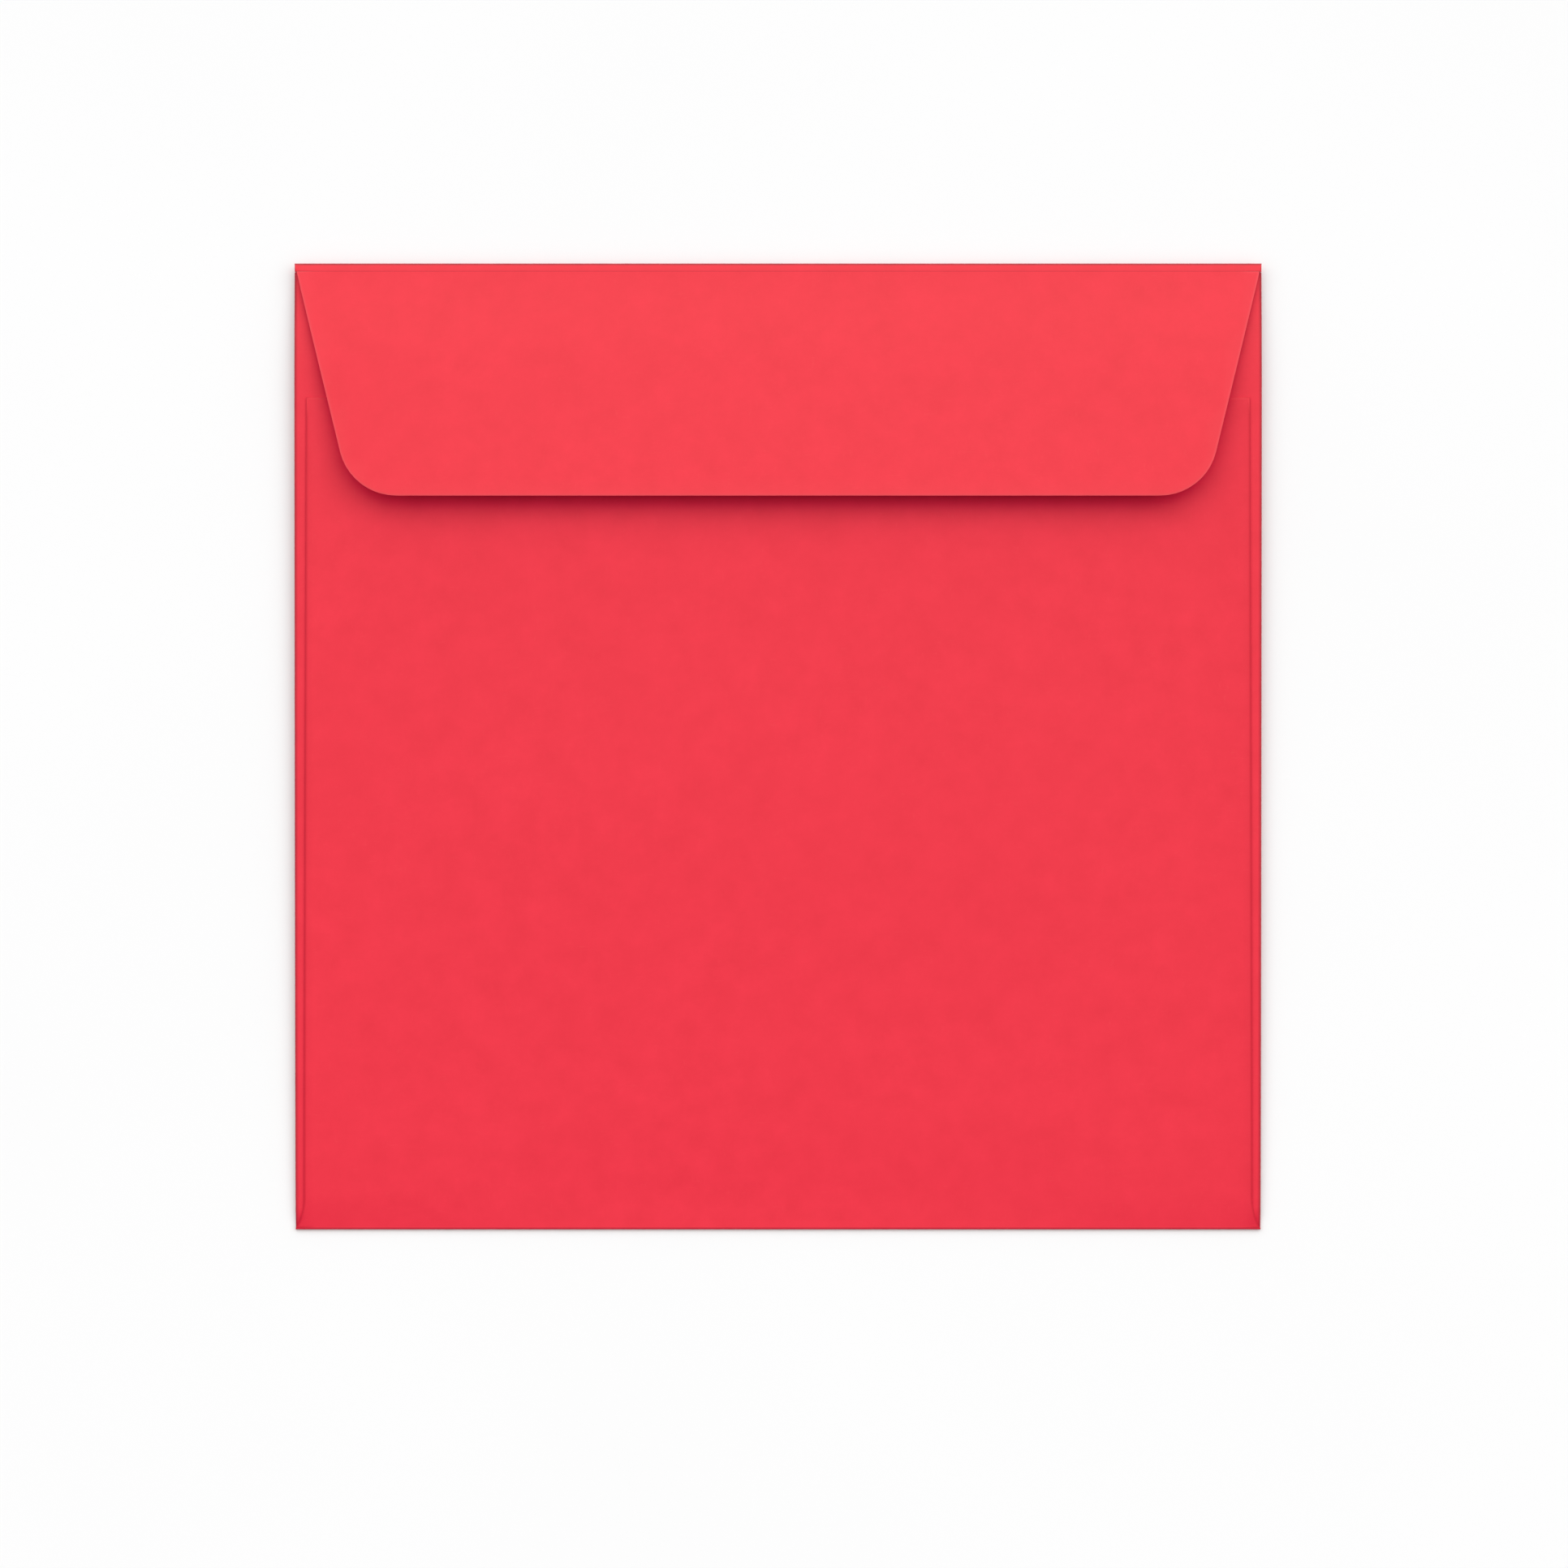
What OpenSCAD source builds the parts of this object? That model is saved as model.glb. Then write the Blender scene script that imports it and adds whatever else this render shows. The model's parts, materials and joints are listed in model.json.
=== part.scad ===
// Square envelope with a straight-sided seal flap, lying on its address face.
// +Z points up out of the back (flap) side, +Y towards the top fold that the seal
// flap turns about, and the origin is under the middle of the front panel.
// The envelope is one die-cut blank: its panels and its creases are drawn as separate
// pieces where the blank is scored, and glue, adhesive and liner are pieces of their own.

/* [Envelope] */
// Outside width, across the two side folds
envelope_w = 155; // [110:1:240]
// Outside height, from the bottom fold to the top fold
envelope_h = 155; // [110:1:240]
// Thickness of the paper
paper_t = 0.15; // [0.1:0.01:0.3]
// Open height inside the pocket, between the front panel and the side flaps
pocket_gap = 1.0; // [0.6:0.1:3]

/* [Seal flap] */
// Depth of the seal flap, from the top fold to its free edge
flap_depth = 37.6; // [25:0.1:45]
// How far each side of the flap has drawn in at its free edge
flap_taper = 9.4; // [0:0.1:20]
// Radius of the flap's two free corners
flap_corner_r = 9.3; // [1:0.1:12]
// Angle that the flap stands open at rest, in degrees
flap_rest_angle = 4.5; // [1:0.5:20]
// Air between the closed flap and the back panel
flap_clearance = 0.3; // [0.2:0.05:1]
// Straight part of the top crease before each panel begins
crease_leg = 0.3; // [0.2:0.05:0.6]

/* [Back panel] */
// Distance from the top fold down to the back panel's free edge
back_drop = 21.5; // [15:0.5:24]
// Distance from the side fold in to the seam, at the back panel's free edge
seam_inset_top = 1.95; // [1:0.05:5]
// Distance from the side fold in to the seam, at the bottom corner
seam_inset_low = 1.4; // [1:0.05:5]
// Height above the bottom fold over which the seam sweeps out to the bottom corner
seam_flare_h = 4.8; // [2:0.1:10]

/* [Side flaps] */
// Width of each side flap, from the side fold inwards
side_flap_w = 20; // [16:0.5:30]
// Slope of a side flap's top end, in degrees
side_flap_top_slope = 35; // [15:1:50]
// Slope of a side flap's bottom end, in degrees
side_flap_low_slope = 12; // [5:1:30]
// Radius of a side flap's two inner corners
side_flap_corner_r = 5; // [1:0.5:8]
// Gap that keeps the side folds out of the top and bottom folds
corner_relief = 0.4; // [0.2:0.1:2]

/* [Seam glue] */
// Width of each glued seam
glue_w = 11; // [4:0.5:12]
// Thickness of the dried glue film
glue_t = 0.04; // [0.02:0.01:0.1]
// Distance from the seam's visible edge in to the glue
glue_margin = 1.5; // [0.5:0.1:3]
// Distance from each end of the seam to the end of the glue
glue_end_margin = 6; // [1:0.5:12]

/* [Peel and seal strip] */
// Width of the adhesive strip under the seal flap
adhesive_w = 10; // [5:0.5:14]
// Thickness of the adhesive strip
adhesive_t = 0.05; // [0.03:0.01:0.1]
// Distance from the flap's free edge to the adhesive strip
adhesive_margin = 4.5; // [3:0.5:8]
// Distance from the flap's drawn-in corner to the strip's end
adhesive_end_margin = 9.5; // [8:0.5:20]
// How far the release liner reaches past the adhesive's long edges
liner_overhang = 1.5; // [0.5:0.1:2.5]
// Length of the liner's loose pull tab, past the adhesive's right end
liner_tab = 5; // [1:0.5:6]
// Thickness of the release liner
liner_t = 0.07; // [0.04:0.01:0.12]

/* [Hidden] */
$fn = 96;

right_x = envelope_w / 2;
top_y = envelope_h / 2;
bottom_y = -top_y;

// Heights of the layers, from the address face up
front_top_z = paper_t;
side_flap_z = front_top_z + pocket_gap;
side_flap_top_z = side_flap_z + paper_t;
back_z = side_flap_top_z + glue_t;
back_top_z = back_z + paper_t;
flap_z = back_top_z + flap_clearance;
flap_top_z = flap_z + paper_t;

// A fold is half a ring as tall as the two panels that it joins
side_fold_r = side_flap_top_z / 2;
bottom_fold_r = back_top_z / 2;
top_fold_r = flap_top_z / 2;

// Lines where the folds end and the flat panels begin
side_fold_x = right_x - side_fold_r;
bottom_fold_y = bottom_y + bottom_fold_r;
hinge_y = top_y - top_fold_r;
hinge_z = top_fold_r;
front_edge_y = hinge_y - crease_leg;
back_edge_y = top_y - back_drop;
side_fold_low_y = bottom_fold_y + corner_relief;
side_fold_high_y = front_edge_y - corner_relief;

// The seam of the back panel, and the arc that sweeps it out to the bottom corner
seam_top_x = right_x - seam_inset_top;
seam_low_x = right_x - seam_inset_low;
seam_low_y = bottom_fold_y + seam_flare_h;
flare_r = (pow(seam_flare_h, 2) + pow(seam_inset_low, 2)) / (2 * seam_inset_low);

side_flap_x = right_x - side_flap_w;
glue_outer_x = right_x - max(seam_inset_top, seam_inset_low) - glue_margin;
glue_low_y = seam_low_y + glue_end_margin;
glue_high_y = back_edge_y - glue_end_margin;

// The seal flap drawn flat, with its free edge towards the bottom fold
flap_free_y = top_y - flap_depth;
flap_free_x = right_x - flap_taper;
adhesive_y = flap_free_y + adhesive_margin;
adhesive_x = flap_free_x - adhesive_end_margin;

// A flat sheet of thickness t whose lower face is at height z
module sheet(z, t) {
    translate([0, 0, z]) linear_extrude(height = t) children();
}

// Half of a paper ring lying along X from x0 to x1: outer radius r, closed towards +Y
module fold(r, x0, x1) {
    translate([x0, 0, 0]) rotate([90, 0, 90]) linear_extrude(height = x1 - x0)
        intersection() {
            difference() {
                circle(r = r);
                circle(r = r - paper_t);
            }
            translate([0, -2 * r]) square([2 * r, 4 * r]);
        }
}

// Turns what is drawn on the closed flap about the top fold to its rest angle
module flap_at_rest() {
    translate([0, hinge_y, hinge_z]) rotate([-flap_rest_angle, 0, 0])
        translate([0, -hinge_y, -hinge_z]) children();
}

// The sliver to cut away at the corner p, whose neighbours are a and b, to round it to
// the radius r
module corner_sliver(p, a, b, r) {
    to_a = (a - p) / norm(a - p);
    to_b = (b - p) / norm(b - p);
    half_angle = acos(to_a * to_b) / 2;
    tangent = r / tan(half_angle);
    middle = (to_a + to_b) / norm(to_a + to_b);
    difference() {
        polygon([p - middle, p + to_a * tangent, p + to_b * tangent]);
        translate(p + middle * r / sin(half_angle)) circle(r = r);
    }
}

// The address side: one plain rectangle between the four folds
module front_panel() {
    color("#f03a4b") sheet(0, paper_t)
        translate([-side_fold_x, bottom_fold_y])
            square([2 * side_fold_x, front_edge_y - bottom_fold_y]);
}

// One lower corner of the back panel, swept out from the seam to the bottom fold
module back_corner() {
    difference() {
        translate([seam_low_x - paper_t, bottom_fold_y])
            square([seam_inset_low + paper_t, seam_flare_h]);
        translate([seam_low_x + flare_r, seam_low_y]) circle(r = flare_r);
    }
}

// The bottom flap, folded up over the side flaps and glued to them
module back_panel() {
    color("#f2404e") sheet(back_z, paper_t) {
        polygon([[-seam_low_x, bottom_fold_y], [seam_low_x, bottom_fold_y],
                 [seam_low_x, seam_low_y], [seam_top_x, back_edge_y],
                 [-seam_top_x, back_edge_y], [-seam_low_x, seam_low_y]]);
        back_corner();
        mirror([1, 0]) back_corner();
    }
}

// The right side flap, under the back panel, with sloped ends and rounded inner corners
module side_flap_outline() {
    reach = side_fold_x - side_flap_x;
    high = side_fold_high_y - reach * tan(side_flap_top_slope);
    low = side_fold_low_y + reach * tan(side_flap_low_slope);
    outer_low = [side_fold_x, side_fold_low_y];
    outer_high = [side_fold_x, side_fold_high_y];
    inner_low = [side_flap_x, low];
    inner_high = [side_flap_x, high];
    difference() {
        polygon([outer_low, outer_high, inner_high, inner_low]);
        corner_sliver(inner_high, outer_high, inner_low, side_flap_corner_r);
        corner_sliver(inner_low, inner_high, outer_low, side_flap_corner_r);
    }
}

module right_side_flap() {
    color("#e8384a") sheet(side_flap_z, paper_t) side_flap_outline();
}

module left_side_flap() {
    color("#e8384a") mirror([1, 0, 0]) sheet(side_flap_z, paper_t) side_flap_outline();
}

// The folded paper between the front panel and the back panel
module bottom_fold() {
    color("#d92f40") translate([0, bottom_fold_y, bottom_fold_r]) mirror([0, 1, 0])
        fold(bottom_fold_r, -right_x, right_x);
}

// The folded paper between the front panel and the right side flap
module right_fold() {
    color("#d92f40") translate([side_fold_x, 0, side_fold_r]) rotate([0, 0, -90])
        fold(side_fold_r, -side_fold_high_y, -side_fold_low_y);
}

module left_fold() {
    mirror([1, 0, 0]) right_fold();
}

// The crease that the seal flap bends on, with a short leg to the panel on each side
module top_crease() {
    color("#d92f40") {
        translate([0, hinge_y, hinge_z]) rotate([90, 0, 90])
            translate([0, 0, -right_x]) linear_extrude(height = envelope_w)
                crease_section();
        sheet(0, paper_t)
            translate([-right_x, front_edge_y]) square([envelope_w, crease_leg]);
        flap_at_rest() sheet(flap_z, paper_t)
            translate([-right_x, hinge_y - crease_leg]) square([envelope_w, crease_leg]);
    }
}

// The bent part of the top crease, seen from its end: half a ring less the rest angle
module crease_section() {
    far = 2 * top_fold_r;
    difference() {
        circle(r = top_fold_r);
        circle(r = top_fold_r - paper_t);
        polygon([[0, 0], [0, -far], [-far, -far], [-far, far],
                 [-far * sin(flap_rest_angle), far * cos(flap_rest_angle)]]);
    }
}

// The closing flap: straight drawn-in sides and two rounded free corners
module seal_flap_outline() {
    side_slope = flap_taper / flap_depth;
    root_y = hinge_y - crease_leg;
    root_x = right_x - (top_y - root_y) * side_slope;
    left_corner = [-flap_free_x, flap_free_y];
    right_corner = [flap_free_x, flap_free_y];
    difference() {
        polygon([[-root_x, root_y], left_corner, right_corner, [root_x, root_y]]);
        corner_sliver(left_corner, [-root_x, root_y], right_corner, flap_corner_r);
        corner_sliver(right_corner, left_corner, [root_x, root_y], flap_corner_r);
    }
}

module seal_flap() {
    color("#f54a56") flap_at_rest() sheet(flap_z, paper_t) seal_flap_outline();
}

// A film of glue between the right side flap and the back panel
module right_seam_glue() {
    color("#e8c9a0") sheet(side_flap_top_z, glue_t)
        translate([glue_outer_x - glue_w, glue_low_y])
            square([glue_w, glue_high_y - glue_low_y]);
}

module left_seam_glue() {
    mirror([1, 0, 0]) right_seam_glue();
}

// The pressure-sensitive strip along the inner face of the flap's free edge
module adhesive_strip() {
    color("#efe6c8") flap_at_rest() sheet(flap_z - adhesive_t, adhesive_t)
        translate([-adhesive_x, adhesive_y]) square([2 * adhesive_x, adhesive_w]);
}

// The silicone-coated paper that covers the adhesive until the envelope is sealed
module release_liner() {
    color("#f4f1ea") flap_at_rest() sheet(flap_z - adhesive_t - liner_t, liner_t)
        translate([-adhesive_x - liner_overhang, adhesive_y - liner_overhang])
            square([2 * adhesive_x + liner_overhang + liner_tab, adhesive_w + 2 * liner_overhang]);
}

front_panel();
back_panel();
left_side_flap();
right_side_flap();
bottom_fold();
left_fold();
right_fold();
top_crease();
seal_flap();
left_seam_glue();
right_seam_glue();
adhesive_strip();
release_liner();
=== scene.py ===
import json
import math

import bmesh
import bpy
from mathutils import Matrix, Vector, noise


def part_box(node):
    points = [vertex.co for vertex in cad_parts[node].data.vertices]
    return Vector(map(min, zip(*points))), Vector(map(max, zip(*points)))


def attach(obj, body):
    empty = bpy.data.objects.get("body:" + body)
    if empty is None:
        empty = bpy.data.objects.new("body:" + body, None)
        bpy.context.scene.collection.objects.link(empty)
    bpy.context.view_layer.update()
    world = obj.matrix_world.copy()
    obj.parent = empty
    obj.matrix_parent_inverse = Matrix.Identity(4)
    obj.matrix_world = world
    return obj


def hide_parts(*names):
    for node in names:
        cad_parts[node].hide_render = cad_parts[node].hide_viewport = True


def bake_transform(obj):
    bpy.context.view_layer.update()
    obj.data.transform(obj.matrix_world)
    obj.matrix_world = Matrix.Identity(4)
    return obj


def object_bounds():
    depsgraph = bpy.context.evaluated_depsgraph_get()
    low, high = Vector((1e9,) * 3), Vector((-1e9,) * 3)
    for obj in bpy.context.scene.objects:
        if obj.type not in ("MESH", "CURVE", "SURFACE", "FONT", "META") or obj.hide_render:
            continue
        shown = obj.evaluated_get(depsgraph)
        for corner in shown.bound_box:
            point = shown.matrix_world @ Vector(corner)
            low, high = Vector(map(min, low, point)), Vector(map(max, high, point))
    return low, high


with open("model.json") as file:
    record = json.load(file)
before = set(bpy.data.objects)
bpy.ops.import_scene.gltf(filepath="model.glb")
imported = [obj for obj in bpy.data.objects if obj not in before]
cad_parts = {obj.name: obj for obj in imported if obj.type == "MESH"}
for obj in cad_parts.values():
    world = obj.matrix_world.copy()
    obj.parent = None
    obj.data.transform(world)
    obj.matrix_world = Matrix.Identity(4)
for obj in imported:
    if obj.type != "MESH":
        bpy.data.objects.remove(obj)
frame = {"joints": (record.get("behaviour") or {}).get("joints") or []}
cad_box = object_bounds()

# ---------------------------------------------------------------------------------------
# Front panel: the address side, a plain square of the blank between its four folds.
# Dyed-through red paper of 120 g/m2, die-cut and scored; the envelope lies on it.
# ---------------------------------------------------------------------------------------
MM = 0.001
front_low, front_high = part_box("front_panel")
side_low, side_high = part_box("right_side_flap")
back_low, back_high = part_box("back_panel")
PAPER_T = front_high.z - front_low.z
GLUE_T = back_low.z - side_high.z
RIGHT_X = cad_box[1].x
BOTTOM_Y = cad_box[0].y
CREASE_Y = front_high.y

# Every fold is pressed tight, so the edges of the empty pocket ride up off the table: not
# at its foot, fast above it and then slowly, and a little less again at the top corners
PRESSED_HEIGHT = 0.34 * MM
OPEN_HEIGHT = 1.80 * MM
SPRING_RUN = 145 * MM
SPRING_POWER = 0.32
TOP_SINK = 0.62 * MM
TOP_SINK_RUN = 16 * MM
RIDE_UP_RUN = 14 * MM
FOOT_HOLD_RUN = 2 * MM
FOOT_Y = BOTTOM_Y + (PRESSED_HEIGHT + GLUE_T + PAPER_T) / 2
FOLD_X = RIGHT_X - PRESSED_HEIGHT / 2


def smooth(share):
    """0 to 1 held and eased at both ends."""
    share = min(max(share, 0.0), 1.0)
    return share * share * (3 - 2 * share)


def ride_up(y):
    """How far a side fold rides up off the table."""
    run = max(y - FOOT_Y, 0.0)
    rise = min(run / SPRING_RUN, 1.0) ** SPRING_POWER * smooth(run / FOOT_HOLD_RUN)
    sink = TOP_SINK * smooth(1 - (CREASE_Y - y) / TOP_SINK_RUN)
    return (OPEN_HEIGHT - PRESSED_HEIGHT) * rise - sink


WAVE_X, WAVE_Y = 38 * MM, 47 * MM
RIPPLE_X, RIPPLE_Y = 17 * MM, 21 * MM
RIPPLE_SEED_SHIFT = 7.3
RIPPLE_SHARE = 0.3


def cockle(x, y, seed, size):
    """Slow waves of paper that has taken up damp; size is about the height of a wave."""
    wave = noise.noise(Vector((x / WAVE_X, y / WAVE_Y, seed)))
    ripple = noise.noise(Vector((x / RIPPLE_X, y / RIPPLE_Y, seed + RIPPLE_SEED_SHIFT)))
    return size * (wave + RIPPLE_SHARE * ripple)


class Wire:
    """A socket of a material. + - * on wires add Math nodes, and node() adds any other."""

    def __init__(self, tree, socket=None):
        self.tree = tree
        self.socket = socket

    def node(self, kind, settings=None, sockets=None, output=0):
        made = self.tree.nodes.new("ShaderNode" + kind)
        for name, value in (settings or {}).items():
            setattr(made, name, value)
        for name, value in (sockets or {}).items():
            if isinstance(value, Wire):
                self.tree.links.new(value.socket, made.inputs[name])
            else:
                made.inputs[name].default_value = value
        return Wire(self.tree, made.outputs[output] if made.outputs else None)

    def maths(self, operation, first, second):
        return self.node("Math", {"operation": operation}, {0: first, 1: second})

    def __add__(self, other):
        return self.maths("ADD", self, other)

    def __radd__(self, other):
        return self.maths("ADD", other, self)

    def __sub__(self, other):
        return self.maths("SUBTRACT", self, other)

    def __rsub__(self, other):
        return self.maths("SUBTRACT", other, self)

    def __mul__(self, other):
        return self.maths("MULTIPLY", self, other)

    def __rmul__(self, other):
        return self.maths("MULTIPLY", other, self)

    def held(self, low, high):
        """This value spread from low..high to 0..1, and held there."""
        return self.node("MapRange", {"clamp": True},
                         {"Value": self, "From Min": low, "From Max": high})

    def between(self, first, second):
        """The first colour where this value is 0, and the second where it is 1."""
        return self.node("Mix", {"data_type": "RGBA"}, {0: self, 6: first, 7: second}, output=2)

    def grown(self, x, y, z):
        """This vector with each component multiplied."""
        return self.node("VectorMath", {"operation": "MULTIPLY"}, {0: self, 1: (x, y, z)})

    def cloud(self, scale, detail=3.0, roughness=0.55):
        """Noise over this vector, about 0.5 on the mean."""
        return self.node("TexNoise", None, {"Vector": self, "Scale": scale, "Detail": detail,
                                            "Roughness": roughness})


def new_material(name):
    """A material, and the wire of its place in millimetres."""
    material = bpy.data.materials.new(name)
    material.use_nodes = True
    material.node_tree.nodes.clear()
    start = Wire(material.node_tree).node("TexCoord", output="Object")
    return material, start.grown(1 / MM, 1 / MM, 1 / MM)


def finish_material(place, surface, height):
    """Ends a material in a Principled shader, with a bump of so many millimetres."""
    normal = place.node("Bump", None, {"Strength": 1.0, "Distance": MM, "Height": height})
    shader = place.node("BsdfPrincipled", None, {**surface, "Normal": normal})
    place.node("OutputMaterial", None, {"Surface": shader})


RED_DEEP = (0.768, 0.0183, 0.0410, 1)
RED_CLEAR = (0.842, 0.0222, 0.0515, 1)
RED_DRIFT = (0.785, 0.0195, 0.0440, 1)
RED_FIBRE = (0.87, 0.075, 0.10, 1)
RED_BRUISED = (0.86, 0.13, 0.16, 1)
# Painted shade of the seam gap, for the back panel's glued cut edges
RED_SEAM_SHADE = (0.50, 0.0020, 0.0120, 1)
# Painted shade at the outer edges of the folds
RED_FOLD_SHADE = (0.34, 0.0080, 0.0200, 1)
RED_SHEEN = 0.37


def make_red_paper():
    """Dyed-through red stock: cloudy formation, felt grain, fibres, pale handled edges, and
    painted shade at the seams and folds.
    """
    material, place = new_material("red_paper")
    formation = place.cloud(0.22, 4.0, 0.6)
    drift = place.cloud(0.035, 2.0)
    grain = place.cloud(3.5, 3.0, 0.65)
    fibre_x = place.grown(0.35, 2.6, 2.6).cloud(1.4, 3.0, 0.7).held(0.62, 0.74)
    fibre_y = place.grown(2.6, 0.4, 2.6).cloud(1.2, 3.0, 0.7).held(0.63, 0.75)
    fibres = fibre_x + fibre_y
    cut = place.node("Attribute", {"attribute_name": "cut_edge"}, output="Fac")
    fold_shade_mask = place.node("Attribute", {"attribute_name": "fold_shade"}, output="Fac")

    colour = formation.held(0.25, 0.75).between(RED_DEEP, RED_CLEAR)
    colour = (drift.held(0.3, 0.7) * 0.35).between(colour, RED_DRIFT)
    colour = (fibres * 0.10).between(colour, RED_FIBRE)
    colour = (cut.held(0.0, 1.0) * 0.30).between(colour, RED_BRUISED)
    # Painted shade: darker at the back panel's glued cut edges, where the seam gap is in shade,
    # and a little at its top edge
    colour = ((0.0 - cut).held(0.0, 0.8) * 0.65).between(colour, RED_SEAM_SHADE)
    # Painted shade: darker where the folds turn away, as the shade at their outer edges
    colour = (fold_shade_mask * (0.55 + 0.4 * place.cloud(0.5))).between(colour, RED_FOLD_SHADE)

    rough = 0.50 + 0.10 * grain + 0.06 * formation
    height = 0.0045 * grain + 0.010 * formation + 0.003 * fibres
    finish_material(place, {"Base Color": colour, "Roughness": rough,
                            "Specular IOR Level": RED_SHEEN}, height)
    return material


RED_PAPER = make_red_paper()

# A cut edge is a little rounded, and bows away from the side that the die came from. It is
# bruised pale where it is handled, or clean; the back panel's glued sides are painted darker as
# the shade of the seam gap, and its top edge faintly so
BRUISED, CLEAN, FAINTLY_SHADED, SEAM_SHADED = 1.0, 0.0, -0.35, -1.0
RIM_STEPS = (0.05 * MM, 0.13 * MM, 0.27 * MM)
RIM_ROUND = RIM_STEPS[0]
RIM_WIDTH = sum(RIM_STEPS)
RIM_DROP = 0.018 * MM
RIM_THINNING = 0.45
GRID_STEP = 3.1 * MM
GRID_SLACK = 1e-7
SLOPE_PROBE = 0.05 * MM
NO_EDGE_NEAR = 1.0
# How far the folds' painted shade reaches into a flat sheet, and a reach that gives almost none
FOLD_SHADE_RUN, NO_FOLD_SHADE_RUN = 0.3 * MM, 0.01 * MM
SMOOTH_ANGLE = math.radians(62)


def link_mesh(name, points, faces, material, marks):
    """A smooth-shaded closed mesh. marks gives the values of each named point attribute."""
    mesh = bpy.data.meshes.new(name)
    mesh.from_pydata(points, [], faces)
    solid = bmesh.new()
    solid.from_mesh(mesh)
    bmesh.ops.recalc_face_normals(solid, faces=solid.faces)
    solid.to_mesh(mesh)
    solid.free()
    for mark, values in marks.items():
        mesh.attributes.new(mark, "FLOAT", "POINT").data.foreach_set("value", values)
    mesh.shade_smooth()
    mesh.set_sharp_from_angle(angle=SMOOTH_ANGLE)
    mesh.materials.append(material)
    piece = bpy.data.objects.new(name, mesh)
    bpy.context.scene.collection.objects.link(piece)
    return piece


def edge_gap(point, start, end):
    """Distance in plan from a point to the side between two points."""
    along = end - start
    share = (point - start).dot(along) / along.length_squared
    return (point - start - along * min(max(share, 0.0), 1.0)).length


def gridded_plan(outline):
    """An outline as a flat mesh, with narrow rims inside its sides and a grid across it."""
    plan = bmesh.new()
    whole = plan.faces.new([plan.verts.new((x, y, 0)) for x, y, _ in outline])
    for width in RIM_STEPS:
        bmesh.ops.inset_individual(plan, faces=[whole], thickness=width, use_even_offset=True)
    for axis in range(2):
        values = [point[axis] for point in outline]
        low, high = min(values), max(values)
        count = math.ceil((high - low) / GRID_STEP)
        for line in range(1, count):
            where = [0.0, 0.0, 0.0]
            where[axis] = low + (high - low) * line / count
            direction = [float(i == axis) for i in range(3)]
            bmesh.ops.bisect_plane(plan, geom=plan.verts[:] + plan.edges[:] + plan.faces[:],
                                   plane_co=where, plane_no=direction, dist=GRID_SLACK)
    plan.verts.index_update()
    return plan


def paper_sheet(name, outline, middle, material=RED_PAPER, thickness=PAPER_T,
                shade_run=FOLD_SHADE_RUN):
    """A closed sheet. outline holds (x, y, look) anticlockwise, where look is one of the four
    above for the side that starts there, or None if the paper goes on into a fold.
    middle(x, y) is the height of the middle of the thickness, and the last argument says how far
    the painted shade of the pressed folds reaches in."""
    plan = gridded_plan(outline)
    sides = [(Vector(start[:2]), Vector(end[:2]), start[2])
             for start, end in zip(outline, outline[1:] + outline[:1])]
    cuts = [side for side in sides if side[2] is not None]
    folds = [side[:2] for side in sides if side[2] is None]
    upper, lower, rims, fold_shades = [], [], [], []
    step = SLOPE_PROBE
    for vertex in plan.verts:
        x, y = vertex.co.x, vertex.co.y
        gap, look = min([(edge_gap(Vector((x, y)), start, end), look)
                         for start, end, look in cuts], default=(NO_EDGE_NEAR, CLEAN))
        rim = max(0.0, 1 - gap / RIM_WIDTH)
        half = thickness / 2 * (1 - RIM_THINNING * max(0.0, 1 - gap / RIM_ROUND) ** 2)
        tilt = Vector((middle(x - step, y) - middle(x + step, y),
                       middle(x, y - step) - middle(x, y + step), 2 * step)).normalized()
        centre = Vector((x, y, middle(x, y) - RIM_DROP * rim ** 2))
        upper.append(centre + tilt * half)
        lower.append(centre - tilt * half)
        rims.append(rim * look)
        fold_gap = min([edge_gap(Vector((x, y)), *fold) for fold in folds],
                       default=NO_EDGE_NEAR)
        fold_shades.append(smooth(1 - fold_gap / shade_run))
    count = len(upper)
    faces = [[v.index for v in face.verts] for face in plan.faces]
    faces += [[v.index + count for v in reversed(face.verts)] for face in plan.faces]
    for edge in plan.edges:
        if edge.is_boundary:
            first, second = (v.index for v in edge.verts)
            faces.append([first, second, second + count, first + count])
    plan.free()
    return link_mesh(name, upper + lower, faces, material,
                     {"cut_edge": rims * 2, "fold_shade": fold_shades * 2})


# Places along the side folds, closest at the foot where the height changes fastest
STATIONS = 26
STATION_POWER = 1.6
FOLD_GAP = 0.1 * MM
fold_length = CREASE_Y - FOOT_Y - 2 * FOLD_GAP
station_ys = [FOOT_Y + FOLD_GAP + fold_length * (i / STATIONS) ** STATION_POWER
              for i in range(STATIONS + 1)]
right_side = [(FOLD_X, y, None) for y in [FOOT_Y] + station_ys[1:-1] + [CREASE_Y]]
front_outline = right_side + [(-x, y, None) for x, y, _ in reversed(right_side)]


FRONT_EASE_RUN = 30 * MM
FRONT_RISE = 0.06 * MM
FRONT_WAVE = 0.05 * MM


def front_middle(x, y):
    """Height of the middle of the front panel: flat, but for its edges and slow waves."""
    inner = (smooth((FOLD_X - abs(x)) / FRONT_EASE_RUN) * smooth((y - FOOT_Y) / FRONT_EASE_RUN)
             * smooth((CREASE_Y - y) / FRONT_EASE_RUN))
    side = smooth(1 - (FOLD_X - abs(x)) / RIDE_UP_RUN)
    top = smooth(1 - (CREASE_Y - y) / RIDE_UP_RUN)
    ride = ride_up(y) * side + ride_up(CREASE_Y) * top * (1 - side)
    return PAPER_T / 2 + ride + inner * (FRONT_RISE + cockle(x, y, 2.0, FRONT_WAVE))


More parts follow.
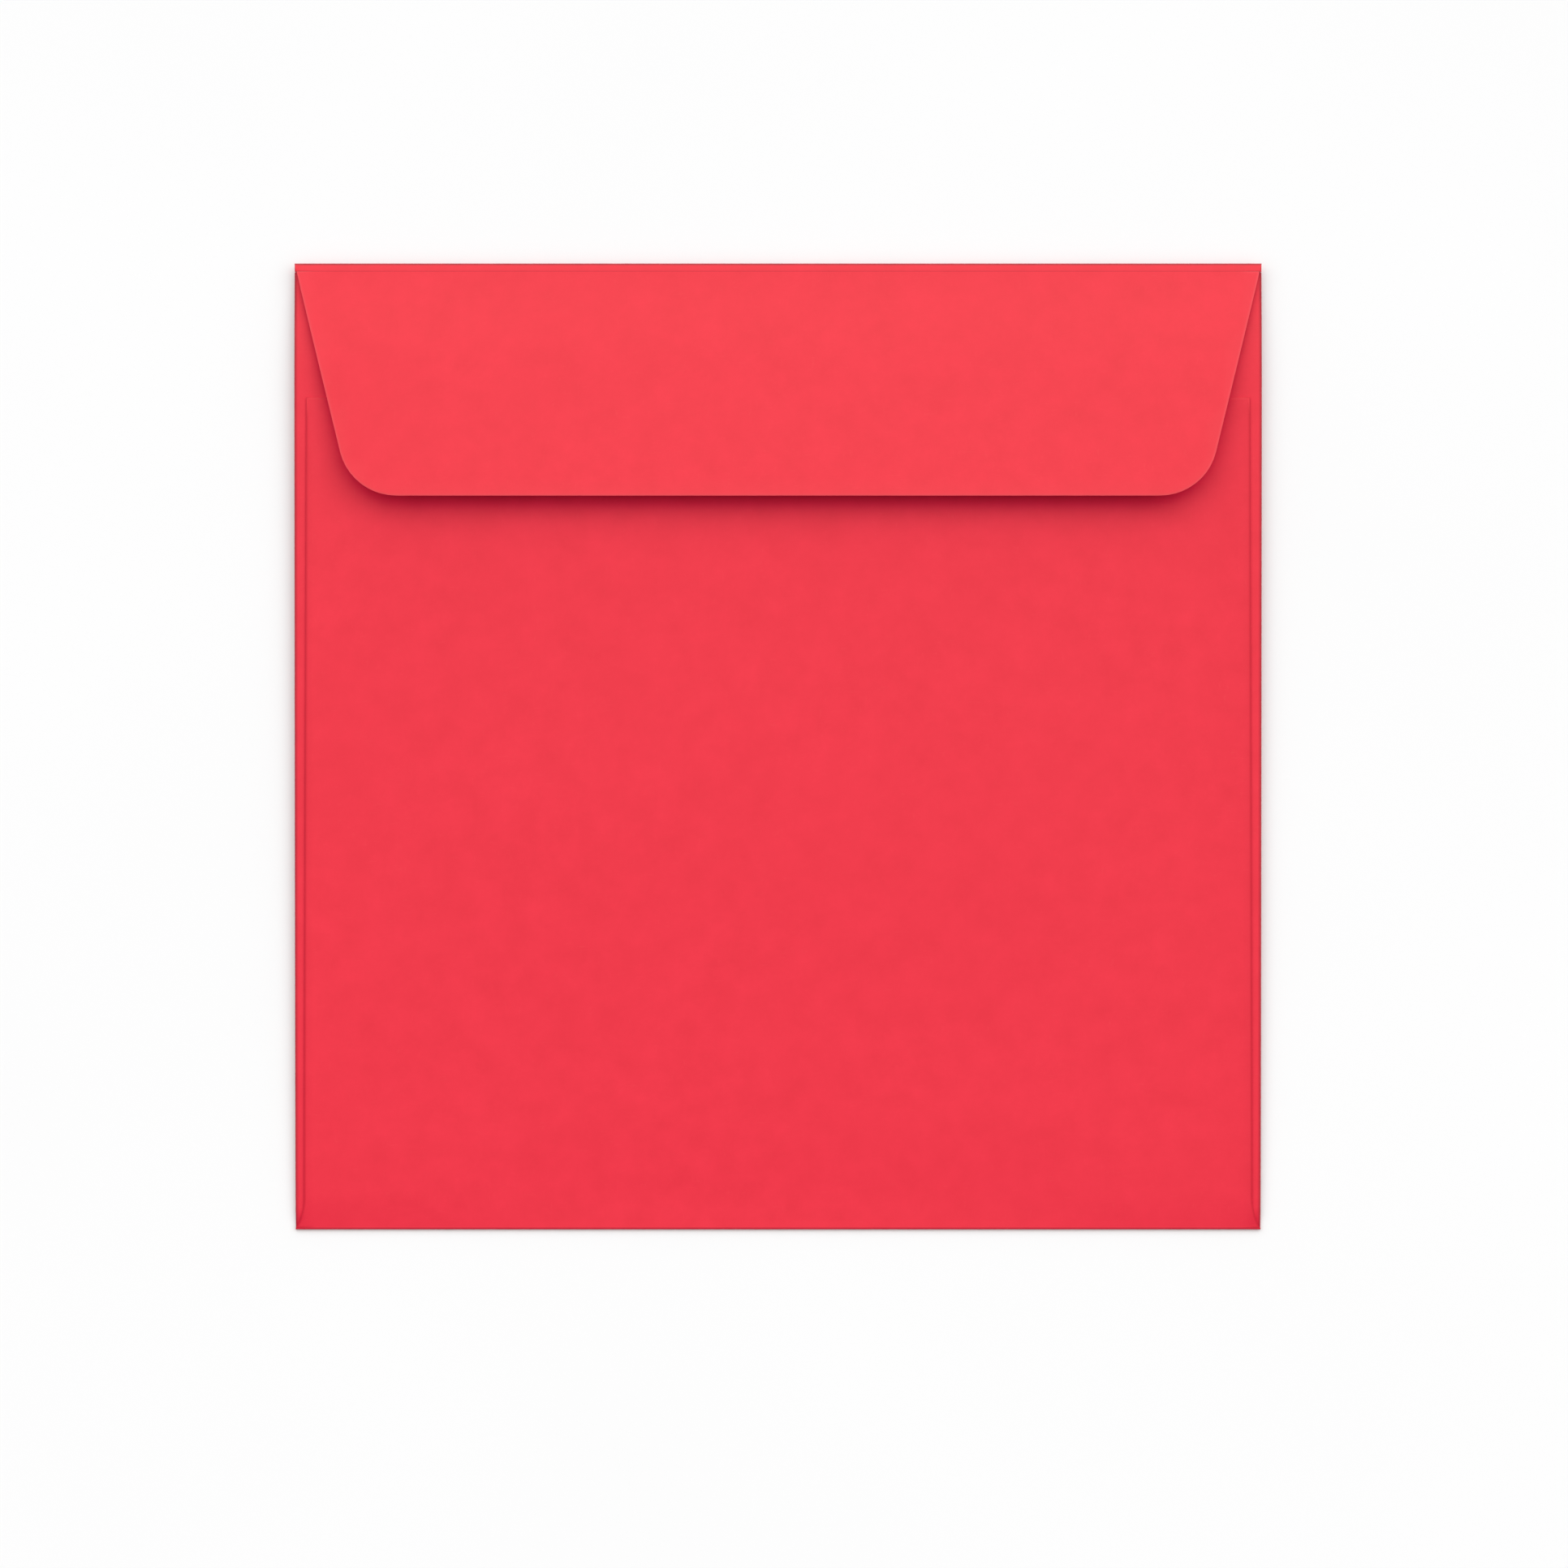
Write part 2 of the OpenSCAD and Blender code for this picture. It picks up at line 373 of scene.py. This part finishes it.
front_panel = paper_sheet("front_panel_sheet", front_outline, front_middle)
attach(front_panel, "envelope")
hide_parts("front_panel")

# ---------------------------------------------------------------------------------------
# Side folds: the same paper, scored and turned over the front panel along each side.
# Each is pressed to a tight half ring in section, and rides up off the table with its edge.
# ---------------------------------------------------------------------------------------
BEND_ROWS = 12
SHADE_SPREAD = 3.0


def paper_bend(name, centres, radius, out, rows, shading=1.0, end_shading=0.0):
    """A strip bent about a line of centres, to a middle radius. rows are (angle, run): the
    angle turned from straight down towards out, and how far the sheet runs straight on. The last
    two arguments say how strongly the outside of the bend is painted in shade, and the same where
    it ends."""
    outer, inner, fold_shades = [], [], []
    up = Vector((0, 0, 1))
    out = Vector(out)
    for centre in centres:
        for angle, run in rows:
            radial = out * math.sin(angle) - up * math.cos(angle)
            onward = out * math.cos(angle) + up * math.sin(angle)
            middle = centre + radial * radius + onward * run
            outer.append(middle + radial * PAPER_T / 2)
            inner.append(middle - radial * PAPER_T / 2)
            fold_shades.append(max(shading * smooth(SHADE_SPREAD * math.sin(angle)), end_shading))
    count = len(outer)
    across = len(rows)
    border = list(range(across))
    border += [station * across + across - 1 for station in range(1, len(centres))]
    border += [count - 2 - i for i in range(across - 1)]
    border += [station * across for station in range(len(centres) - 2, 0, -1)]
    faces = []
    for station in range(len(centres) - 1):
        for row in range(across - 1):
            corners = [station * across + row, (station + 1) * across + row]
            quad = [corners[0], corners[1], corners[1] + 1, corners[0] + 1]
            faces += [quad, [corner + count for corner in reversed(quad)]]
    for first, second in zip(border, border[1:] + border[:1]):
        faces.append([first, second, second + count, first + count])
    return link_mesh(name, outer + inner, faces, RED_PAPER,
                     {"cut_edge": [0.0] * (2 * count), "fold_shade": fold_shades * 2})


half_turn = [(math.pi * row / BEND_ROWS, 0.0) for row in range(BEND_ROWS + 1)]
# Each side fold is painted in shade over its whole bend
for name, side in (("left_fold", -1), ("right_fold", 1)):
    fold = paper_bend(
        name + "_bend",
        [Vector((side * FOLD_X, y, ride_up(y) + PRESSED_HEIGHT / 2)) for y in station_ys],
        (PRESSED_HEIGHT - PAPER_T) / 2, (side, 0, 0), half_turn, end_shading=1.0)
    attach(fold, "envelope")
    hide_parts(name)

# ---------------------------------------------------------------------------------------
# Side flaps: the narrow flaps of the blank that lie on the folds, under the back panel.
# Cut with sloped ends, so that they clear the top and bottom folds, and round corners.
# ---------------------------------------------------------------------------------------
SIDE_FLAP_TOP_SLOPE = math.tan(math.radians(35))
SIDE_FLAP_LOW_SLOPE = math.tan(math.radians(12))
SIDE_FLAP_CORNER = 5 * MM
SIDE_FLAP_EASE_RUN = 14 * MM
SIDE_FLAP_WAVE = 0.045 * MM
CORNER_POINTS = 10
EDGE_CURL = 0.36
EDGE_CURL_RUN = 9 * MM
SIDE_FLAP_IN = side_low.x


def rounded(before, corner, after, radius):
    """Points of an arc of that radius, tangent to both sides of a corner."""
    corner = Vector(corner)
    to_before = (Vector(before) - corner).normalized()
    to_after = (Vector(after) - corner).normalized()
    half = to_before.angle(to_after) / 2
    centre = corner + (to_before + to_after).normalized() * radius / math.sin(half)
    start = corner + to_before * radius / math.tan(half) - centre
    end = corner + to_after * radius / math.tan(half) - centre
    from_angle = math.atan2(start.y, start.x)
    turn = (math.atan2(end.y, end.x) - from_angle + math.pi) % math.tau - math.pi
    angles = [from_angle + turn * i / CORNER_POINTS for i in range(CORNER_POINTS + 1)]
    return [(centre.x + radius * math.cos(a), centre.y + radius * math.sin(a)) for a in angles]


def glued_height(x, y):
    """Height of the side flaps' outer faces, which the glue and the back panel follow."""
    away = smooth((FOLD_X - abs(x)) / EDGE_CURL_RUN)
    inner = away * smooth((y - FOOT_Y) / SIDE_FLAP_EASE_RUN)
    level = PRESSED_HEIGHT + ride_up(y) * (1 - EDGE_CURL * away)
    head = smooth((CREASE_Y - y) / SIDE_FLAP_EASE_RUN)
    return level + inner * head * cockle(x, y, 1.0, SIDE_FLAP_WAVE)


def mirrored(outline):
    """An outline on the other side of the middle, with the same look on each side."""
    looks = [look for _, _, look in reversed(outline)]
    return [(-x, y, look) for (x, y, _), look
            in zip(reversed(outline), looks[1:] + looks[:1])]


reach = FOLD_X - SIDE_FLAP_IN
folded_side = [(FOLD_X, y) for y in station_ys]
flap_foot, flap_head = folded_side[0], folded_side[-1]
inner_foot = (SIDE_FLAP_IN, flap_foot[1] + reach * SIDE_FLAP_LOW_SLOPE)
inner_head = (SIDE_FLAP_IN, flap_head[1] - reach * SIDE_FLAP_TOP_SLOPE)
free_side = (rounded(flap_head, inner_head, inner_foot, SIDE_FLAP_CORNER)
             + rounded(inner_head, inner_foot, flap_foot, SIDE_FLAP_CORNER))
side_flap_points = [(x, y, None) for x, y in folded_side[:-1]]
side_flap_points += [(*flap_head, CLEAN)] + [(x, y, CLEAN) for x, y in free_side]
for name, side in (("left_side_flap", -1), ("right_side_flap", 1)):
    outline = side_flap_points if side > 0 else mirrored(side_flap_points)
    side_flap = paper_sheet(name + "_sheet", outline,
                            lambda x, y: glued_height(x, y) - PAPER_T / 2)
    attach(side_flap, "envelope")
    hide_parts(name)

# ---------------------------------------------------------------------------------------
# Bottom fold: turns the back panel up from the foot of the front panel.
# Scored and pressed the hardest, so it is the tightest bend of the envelope.
# ---------------------------------------------------------------------------------------
FOOT_RADIUS = FOOT_Y - BOTTOM_Y
FOOT_STATIONS = 50
# The bottom fold's outer edge is painted in shade, more lightly than the side folds
FOOT_SHADE = 0.45
foot_xs = [RIGHT_X * (1 - 2 * i / FOOT_STATIONS) for i in range(FOOT_STATIONS + 1)]
bottom_fold = paper_bend("bottom_fold_bend", [Vector((x, FOOT_Y, FOOT_RADIUS)) for x in foot_xs],
                         FOOT_RADIUS - PAPER_T / 2, (0, -1, 0), half_turn, shading=FOOT_SHADE)
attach(bottom_fold, "envelope")
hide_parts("bottom_fold")

# ---------------------------------------------------------------------------------------
# Seam glue: a thin dried film of paper glue up each side, between side flap and back.
# Rolled on in one pass, so its edges wander a little and it is streaked lengthways.
# ---------------------------------------------------------------------------------------
GLUE_PALE = (0.66, 0.42, 0.22, 1)
GLUE_AMBER = (0.80, 0.58, 0.36, 1)
GLUE_THICK = (0.58, 0.33, 0.17, 1)


def make_seam_glue():
    """Dried starch glue: pale amber, half matt, with lengthwise streaks and fine bubbles."""
    material, place = new_material("seam_glue")
    streaks = place.grown(2.4, 0.06, 1.0).cloud(1.0, 3.0, 0.6)
    patches = place.cloud(0.4, 3.0)
    bubbles = place.node("TexVoronoi", None, {"Vector": place, "Scale": 1.7}).held(0.05, 0.25)
    colour = streaks.held(0.3, 0.7).between(GLUE_PALE, GLUE_AMBER)
    colour = (patches.held(0.4, 0.7) * 0.4).between(colour, GLUE_THICK)
    rough = 0.30 + 0.25 * patches + 0.10 * streaks
    finish_material(place, {"Base Color": colour, "Roughness": rough},
                    0.006 * streaks + 0.004 * bubbles)
    return material


SEAM_GLUE = make_seam_glue()
FILM_STEP = 2.5 * MM
GLUE_WANDER = 0.7 * MM
RIGHT_WANDER, LEFT_WANDER = (6 * MM, 1.0), (7 * MM, 5.0)


def strayed(y, run, track, seed):
    """How far a coated edge has strayed, from 0 to 1, on its own track of noise."""
    return abs(noise.noise(Vector((y / run, track, seed))))


def film_outline(low_x, high_x, low_y, high_y, wander, seed):
    """A strip along Y whose two long sides wander, anticlockwise."""
    count = round((high_y - low_y) / FILM_STEP)
    ys = [low_y + (high_y - low_y) * i / count for i in range(count + 1)]
    right = [(high_x - wander * strayed(y, *RIGHT_WANDER, seed), y, CLEAN) for y in ys]
    left = [(low_x + wander * strayed(y, *LEFT_WANDER, seed), y, CLEAN) for y in reversed(ys)]
    return right + left


for name, seed in (("left_seam_glue", 3.0), ("right_seam_glue", 8.0)):
    low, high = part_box(name)
    glue = paper_sheet(
        name + "_film", film_outline(low.x, high.x, low.y, high.y, GLUE_WANDER, seed),
        lambda x, y: glued_height(x, y) + GLUE_T / 2, SEAM_GLUE, GLUE_T)
    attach(glue, "envelope")
    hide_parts(name)

# ---------------------------------------------------------------------------------------
# Back panel: the largest flap of the blank, turned up and glued over both side flaps.
# Its free sides stop just short of the folds, and flare out to the corners at the foot.
# ---------------------------------------------------------------------------------------
SEAM_INSET_TOP = 1.95 * MM
SEAM_INSET_LOW = 1.40 * MM
SEAM_FLARE = 4.8 * MM
SEAM_LIFT = 0.08 * MM
BULGE_UNDER_FLAP = 0.04 * MM
BULGE_BELOW_FLAP = 0.36 * MM
BULGE_FOOT_RUN = 18 * MM
BULGE_FADE_Y = -20 * MM
BULGE_FADE_RUN = 55 * MM
GLUED_MARGIN = 1 * MM
GLUED_RUN = 24 * MM
WAVE_UNDER_FLAP, WAVE_ADDED_BELOW = 0.03, 0.05
SEAM_LIFT_WIDTH = 2.2 * MM
SEAM_LIFT_RUN = 7 * MM
FLARE_POINTS = 6
EASE_RUN = 80 * MM


def seam_x(y):
    """Where the glued side of the back panel ends, above the flare."""
    share = (y - FOOT_Y) / (back_high.y - FOOT_Y)
    return RIGHT_X - SEAM_INSET_LOW - (SEAM_INSET_TOP - SEAM_INSET_LOW) * share


def back_middle(x, y):
    """Height of the middle of the back panel: it follows the side flaps where it is glued,
    bulges between them, and lifts a little along its free sides."""
    free = smooth((SIDE_FLAP_IN + GLUED_MARGIN - abs(x)) / GLUED_RUN)
    foot = smooth((y - FOOT_Y) / BULGE_FOOT_RUN)
    below = 1 - smooth((y - BULGE_FADE_Y) / BULGE_FADE_RUN)
    bulge = BULGE_UNDER_FLAP + (BULGE_BELOW_FLAP - BULGE_UNDER_FLAP) * below
    wave = cockle(x, y, 4.0, (WAVE_UNDER_FLAP + WAVE_ADDED_BELOW * below) * MM)
    lift = (SEAM_LIFT * smooth((abs(x) - seam_x(y)) / SEAM_LIFT_WIDTH + 1)
            * smooth((y - FOOT_Y) / SEAM_LIFT_RUN))
    ease = (1 - EDGE_CURL) * ride_up(y) * (1 - smooth((y - FOOT_Y) / EASE_RUN))
    return (glued_height(x, y) + GLUE_T + PAPER_T / 2 + lift
            + free * (foot * (bulge + wave) - ease))


flare = []
for i in range(FLARE_POINTS + 1):
    run = SEAM_FLARE * i / FLARE_POINTS
    flare.append((RIGHT_X - SEAM_INSET_LOW * (1 - (1 - run / SEAM_FLARE) ** 2), FOOT_Y + run))
seam = flare + [(seam_x(back_high.y), back_high.y)]
# The glued sides are painted darker along their cut edges as the seam gap's shade, and the top
# edge faintly so
back_outline = [(x, y, SEAM_SHADED) for x, y in seam[:-1]] + [(*seam[-1], FAINTLY_SHADED)]
back_outline += [(-x, y, SEAM_SHADED) for x, y in reversed(seam[1:])]
back_outline += [(-seam[0][0], seam[0][1], None)]
back_panel = paper_sheet("back_panel_sheet", back_outline, back_middle, shade_run=NO_FOLD_SHADE_RUN)
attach(back_panel, "envelope")
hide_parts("back_panel")

# ---------------------------------------------------------------------------------------
# Top crease: the scored line that the seal flap bends on, from the front panel up to it.
# Drawn bent at rest from the front panel up to the resting flap, and attached to neither body.
# ---------------------------------------------------------------------------------------
CREASE_ROWS = 14
# The outside of the top crease is painted in shade, more strongly than the other folds
CREASE_SHADE = 1.25
ROOT_DIP = 0.3 * MM
FLAP_DEPTH = 37.6 * MM
FLAP_TAPER = 9.4 * MM
hinge = next(joint for joint in frame["joints"] if joint["name"] == "flap_hinge")
hinge_place = Vector(hinge["pos_m"])
rest_angle = -math.radians(hinge["range_deg"][0])
TOP_Y = hinge_place.y + hinge_place.z


def turned_to_rest(point, share=1.0):
    """Where a point drawn on the closed flap goes, when it turns that share of the way from
    closed to the angle that the flap rests at."""
    turn = Matrix.Rotation(rest_angle * share, 3, Vector(hinge["axis"]))
    return hinge_place + turn @ (point - hinge_place)


leg_low, leg_high = ride_up(CREASE_Y), 2 * hinge_place.z - ROOT_DIP
crease_radius = (leg_high - leg_low) / 2
crease_y = TOP_Y - crease_radius
crease_rows = [(0.0, CREASE_Y - crease_y)]
crease_rows += [(math.pi * row / CREASE_ROWS, 0.0) for row in range(CREASE_ROWS + 1)]
crease_rows += [(math.pi, crease_y - CREASE_Y)]
crease = paper_bend(
    "top_crease_bend", [Vector((x, crease_y, (leg_low + leg_high) / 2)) for x in foot_xs],
    crease_radius - PAPER_T / 2, (0, 1, 0), crease_rows, shading=CREASE_SHADE)
for vertex in crease.data.vertices:
    upper = smooth((vertex.co.z - leg_low - PAPER_T) / (leg_high - leg_low - 2 * PAPER_T))
    drawn_in = FLAP_TAPER * (TOP_Y - vertex.co.y) / FLAP_DEPTH
    vertex.co.x *= 1 - upper * drawn_in / RIGHT_X
    vertex.co = turned_to_rest(vertex.co, upper)
blend_low = Vector((0, CREASE_Y, leg_low + PAPER_T))
blend_high = turned_to_rest(Vector((0, crease_y, leg_high - PAPER_T)))
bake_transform(crease)
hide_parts("top_crease")

# ---------------------------------------------------------------------------------------
# Seal flap: the closing flap of the blank, straight-sided with two round free corners.
# It has never been sealed, so it stands a few degrees open; drawn closed, then turned.
# ---------------------------------------------------------------------------------------
FLAP_CORNER = 9.3 * MM
FLAP_ROOT_RUN = 14 * MM
FLAP_WAVE = 0.05 * MM
FLAP_MIDDLE_Z = 2 * hinge_place.z - PAPER_T / 2
flap_free_y = TOP_Y - FLAP_DEPTH
flap_root_x = RIGHT_X - FLAP_TAPER * (TOP_Y - CREASE_Y) / FLAP_DEPTH
flap_free_x = RIGHT_X - FLAP_TAPER


def turn_to_rest(piece):
    """Turns a piece drawn on the closed flap to the angle that the flap rests at."""
    for vertex in piece.data.vertices:
        vertex.co = turned_to_rest(vertex.co)


def flap_middle(x, y):
    """Height of the middle of the closed flap, which dips where it joins the crease."""
    away = smooth((CREASE_Y - y) / FLAP_ROOT_RUN)
    return FLAP_MIDDLE_Z - ROOT_DIP * (1 - away) + away * cockle(x, y, 11.0, FLAP_WAVE)


root_right, root_left = (flap_root_x, CREASE_Y), (-flap_root_x, CREASE_Y)
free_right, free_left = (flap_free_x, flap_free_y), (-flap_free_x, flap_free_y)
flap_points = [root_left] + rounded(root_left, free_left, free_right, FLAP_CORNER)
flap_points += rounded(free_left, free_right, root_right, FLAP_CORNER)
flap_outline = [(x, y, BRUISED) for x, y in flap_points] + [(*root_right, None)]
seal_flap = paper_sheet("seal_flap_sheet", flap_outline, flap_middle, shade_run=NO_FOLD_SHADE_RUN)
turn_to_rest(seal_flap)
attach(seal_flap, "flap")
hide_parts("seal_flap")

# ---------------------------------------------------------------------------------------
# Adhesive strip: a clear pressure-sensitive film along the flap's free edge, inside.
# Coated on wet, so its surface is glossy with a faint orange peel, and milky in patches.
# ---------------------------------------------------------------------------------------
ADHESIVE_T = 0.05 * MM
ADHESIVE_W = 10 * MM
ADHESIVE_EDGE_MARGIN = 4.5 * MM
ADHESIVE_END_MARGIN = 9.5 * MM
ADHESIVE_WANDER = 0.3 * MM
ADHESIVE_CLEAR = (0.84, 0.34, 0.33, 1)
ADHESIVE_MILKY = (0.88, 0.50, 0.47, 1)
ADHESIVE_LINES = (0.90, 0.60, 0.57, 1)
adhesive_y = flap_free_y + ADHESIVE_EDGE_MARGIN
adhesive_x = flap_free_x - ADHESIVE_END_MARGIN


def make_flap_adhesive():
    """Clear acrylic adhesive on red paper: milky pink, glossy, with coating lines."""
    material, place = new_material("flap_adhesive")
    lines = place.grown(0.05, 3.0, 1.0).cloud(1.0, 2.0)
    peel = place.cloud(1.1, 2.0)
    milk = place.cloud(0.25, 3.0)
    colour = milk.held(0.35, 0.7).between(ADHESIVE_CLEAR, ADHESIVE_MILKY)
    colour = (lines.held(0.45, 0.7) * 0.35).between(colour, ADHESIVE_LINES)
    rough = 0.12 + 0.12 * peel + 0.08 * lines
    finish_material(place, {"Base Color": colour, "Roughness": rough, "Coat Weight": 0.3,
                            "Coat Roughness": 0.08}, 0.010 * peel + 0.004 * lines)
    return material


def strip_along_x(low_x, high_x, low_y, high_y, wander, seed):
    """A strip along X whose two long sides wander, anticlockwise."""
    turned = film_outline(low_y, high_y, low_x, high_x, wander, seed)
    return [(y, x, look) for x, y, look in reversed(turned)]


adhesive = paper_sheet(
    "adhesive_film",
    strip_along_x(-adhesive_x, adhesive_x, adhesive_y, adhesive_y + ADHESIVE_W,
                  ADHESIVE_WANDER, 4.0),
    lambda x, y: flap_middle(x, y) - (PAPER_T + ADHESIVE_T) / 2, make_flap_adhesive(), ADHESIVE_T)
turn_to_rest(adhesive)
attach(adhesive, "flap")
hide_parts("adhesive_strip")

# ---------------------------------------------------------------------------------------
# Release liner: silicone-coated white paper that covers the adhesive until sealing.
# Slit to width, lying flat on the adhesive, with its right end loose as the pull tab.
# ---------------------------------------------------------------------------------------
LINER_T = 0.07 * MM
LINER_OVERHANG = 1.5 * MM
LINER_TAB = 5 * MM
TAB_CURL = 0.09 * MM
LINER_DULL = (0.80, 0.785, 0.74, 1)
LINER_WHITE = (0.87, 0.86, 0.82, 1)
LINER_FIBRE = (0.74, 0.72, 0.67, 1)
LINER_EDGE = (0.90, 0.90, 0.87, 1)


def make_liner_paper():
    """Bleached glassine with a silicone sheen: faint cloudiness, fibres and pressed lines."""
    material, place = new_material("liner_paper")
    cloudy = place.cloud(0.3, 4.0, 0.6)
    fibre = place.grown(0.4, 2.4, 1.0).cloud(1.6, 3.0, 0.7).held(0.6, 0.75)
    cut = place.node("Attribute", {"attribute_name": "cut_edge"}, output="Fac")
    colour = cloudy.held(0.3, 0.7).between(LINER_DULL, LINER_WHITE)
    colour = (fibre * 0.3).between(colour, LINER_FIBRE)
    colour = (cut * 0.3).between(colour, LINER_EDGE)
    rough = 0.34 + 0.14 * cloudy + 0.05 * fibre
    finish_material(place, {"Base Color": colour, "Roughness": rough}, 0.006 * cloudy)
    return material


def liner_middle(x, y):
    """Height of the middle of the liner under the closed flap; its tab curls away."""
    curl = max(0.0, (x - adhesive_x) / LINER_TAB)
    return flap_middle(x, y) - (PAPER_T + LINER_T) / 2 - ADHESIVE_T - TAB_CURL * curl ** 2


liner_low_y = adhesive_y - LINER_OVERHANG
liner_high_y = adhesive_y + ADHESIVE_W + LINER_OVERHANG
liner_left, liner_right = -adhesive_x - LINER_OVERHANG, adhesive_x + LINER_TAB
liner = paper_sheet("release_liner_sheet",
                    [(liner_left, liner_low_y, BRUISED), (liner_right, liner_low_y, BRUISED),
                     (liner_right, liner_high_y, BRUISED), (liner_left, liner_high_y, BRUISED)],
                    liner_middle, make_liner_paper(), LINER_T)
turn_to_rest(liner)
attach(liner, "liner")
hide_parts("release_liner")

# ---------------------------------------------------------------------------------------
# Floor, light and camera: a white table in an even white room that is brighter beyond the
# top fold, so that the light is soft and comes mostly from there; seen from straight above.
# ---------------------------------------------------------------------------------------
FLOOR_HALF = 6.0
FLOOR_Z = -0.01 * MM
TABLE_GREY = (0.895, 0.895, 0.895, 1)
TABLE_WHITE = (0.905, 0.905, 0.905, 1)


def make_floor():
    """A plain matt white table top, very slightly patchy."""
    material, place = new_material("white_table")
    patches = place.cloud(0.01, 2.0)
    colour = patches.held(0.3, 0.7).between(TABLE_GREY, TABLE_WHITE)
    finish_material(place, {"Base Color": colour, "Roughness": 0.8, "Specular IOR Level": 0.2},
                    0.002 * place.cloud(1.2))
    return material


corners = [(-FLOOR_HALF, -FLOOR_HALF), (FLOOR_HALF, -FLOOR_HALF),
           (FLOOR_HALF, FLOOR_HALF), (-FLOOR_HALF, FLOOR_HALF)]
floor_mesh = bpy.data.meshes.new("white_table")
floor_mesh.from_pydata([(x, y, FLOOR_Z) for x, y in corners], [], [(0, 1, 2, 3)])
floor_mesh.materials.append(make_floor())
floor = bpy.data.objects.new("white_table", floor_mesh)
bpy.context.scene.collection.objects.link(floor)

ROOM_GAIN = 0.99
ROOM_DIM = 0.22
ROOM_BRIGHT = 2.27
ROOM_SIDES = 1.0
ROOM_HORIZON = 0.35
ROOM_LEAN = 0.12
ROOM_FADE = (-0.21, 0.75)
ROOM_SKYLINE = (0.27, 0.43)
world = bpy.data.worlds.new("soft_room")
world.use_nodes = True
world.node_tree.nodes.clear()
towards = Wire(world.node_tree).node("TexCoord", output="Generated")
along_x, along_y, upwards = (towards.node("SeparateXYZ", None, {"Vector": towards}, output=axis)
                             for axis in "XYZ")
across = (along_y + ROOM_LEAN * along_x).held(*ROOM_FADE)
brightness = ROOM_DIM + ROOM_BRIGHT * across + ROOM_SIDES * along_x * along_x
brightness = brightness * (ROOM_HORIZON + (1 - ROOM_HORIZON) * upwards.held(*ROOM_SKYLINE))
room = towards.node("Background", None,
                    {"Color": (1, 1, 1, 1), "Strength": ROOM_GAIN * brightness})
room.node("OutputWorld", None, {"Surface": room})
bpy.context.scene.world = world

# The picture's contrast: shadows on the red paper keep less green, and so stay a deep crimson.
# It grades the picture alone, and no material or exported mesh carries it
GREEN_CURVE = ((0.006, 0.002), (0.022, 0.012), (0.048, 0.050), (0.059, 0.068), (0.20, 0.20))
picture = bpy.context.scene.view_settings
picture.view_transform = "Standard"
picture.use_curve_mapping = True
green = picture.curve_mapping.curves[1]
for bright, shown in GREEN_CURVE:
    green.points.new(bright, shown)
for point in green.points:
    point.handle_type = "VECTOR"
picture.curve_mapping.update()

CAMERA_LENS = 85
CAMERA_SENSOR = 36
CAMERA_NEAR, CAMERA_FAR = 0.05, 30
CAMERA_RANGE = 0.5936
CAMERA_TILT = math.radians(0.26)
CAMERA_AIM = Vector((0.95 * MM, -5.9 * MM, 1.4 * MM))
camera_data = bpy.data.cameras.new("camera")
camera_data.lens = CAMERA_LENS
camera_data.sensor_width = CAMERA_SENSOR
camera_data.clip_start = CAMERA_NEAR
camera_data.clip_end = CAMERA_FAR
camera = bpy.data.objects.new("camera", camera_data)
backwards = Vector((0, math.sin(CAMERA_TILT), math.cos(CAMERA_TILT)))
camera.location = CAMERA_AIM + backwards * CAMERA_RANGE
camera.rotation_euler = (-CAMERA_TILT, 0, 0)
bpy.context.scene.collection.objects.link(camera)
bpy.context.scene.camera = camera
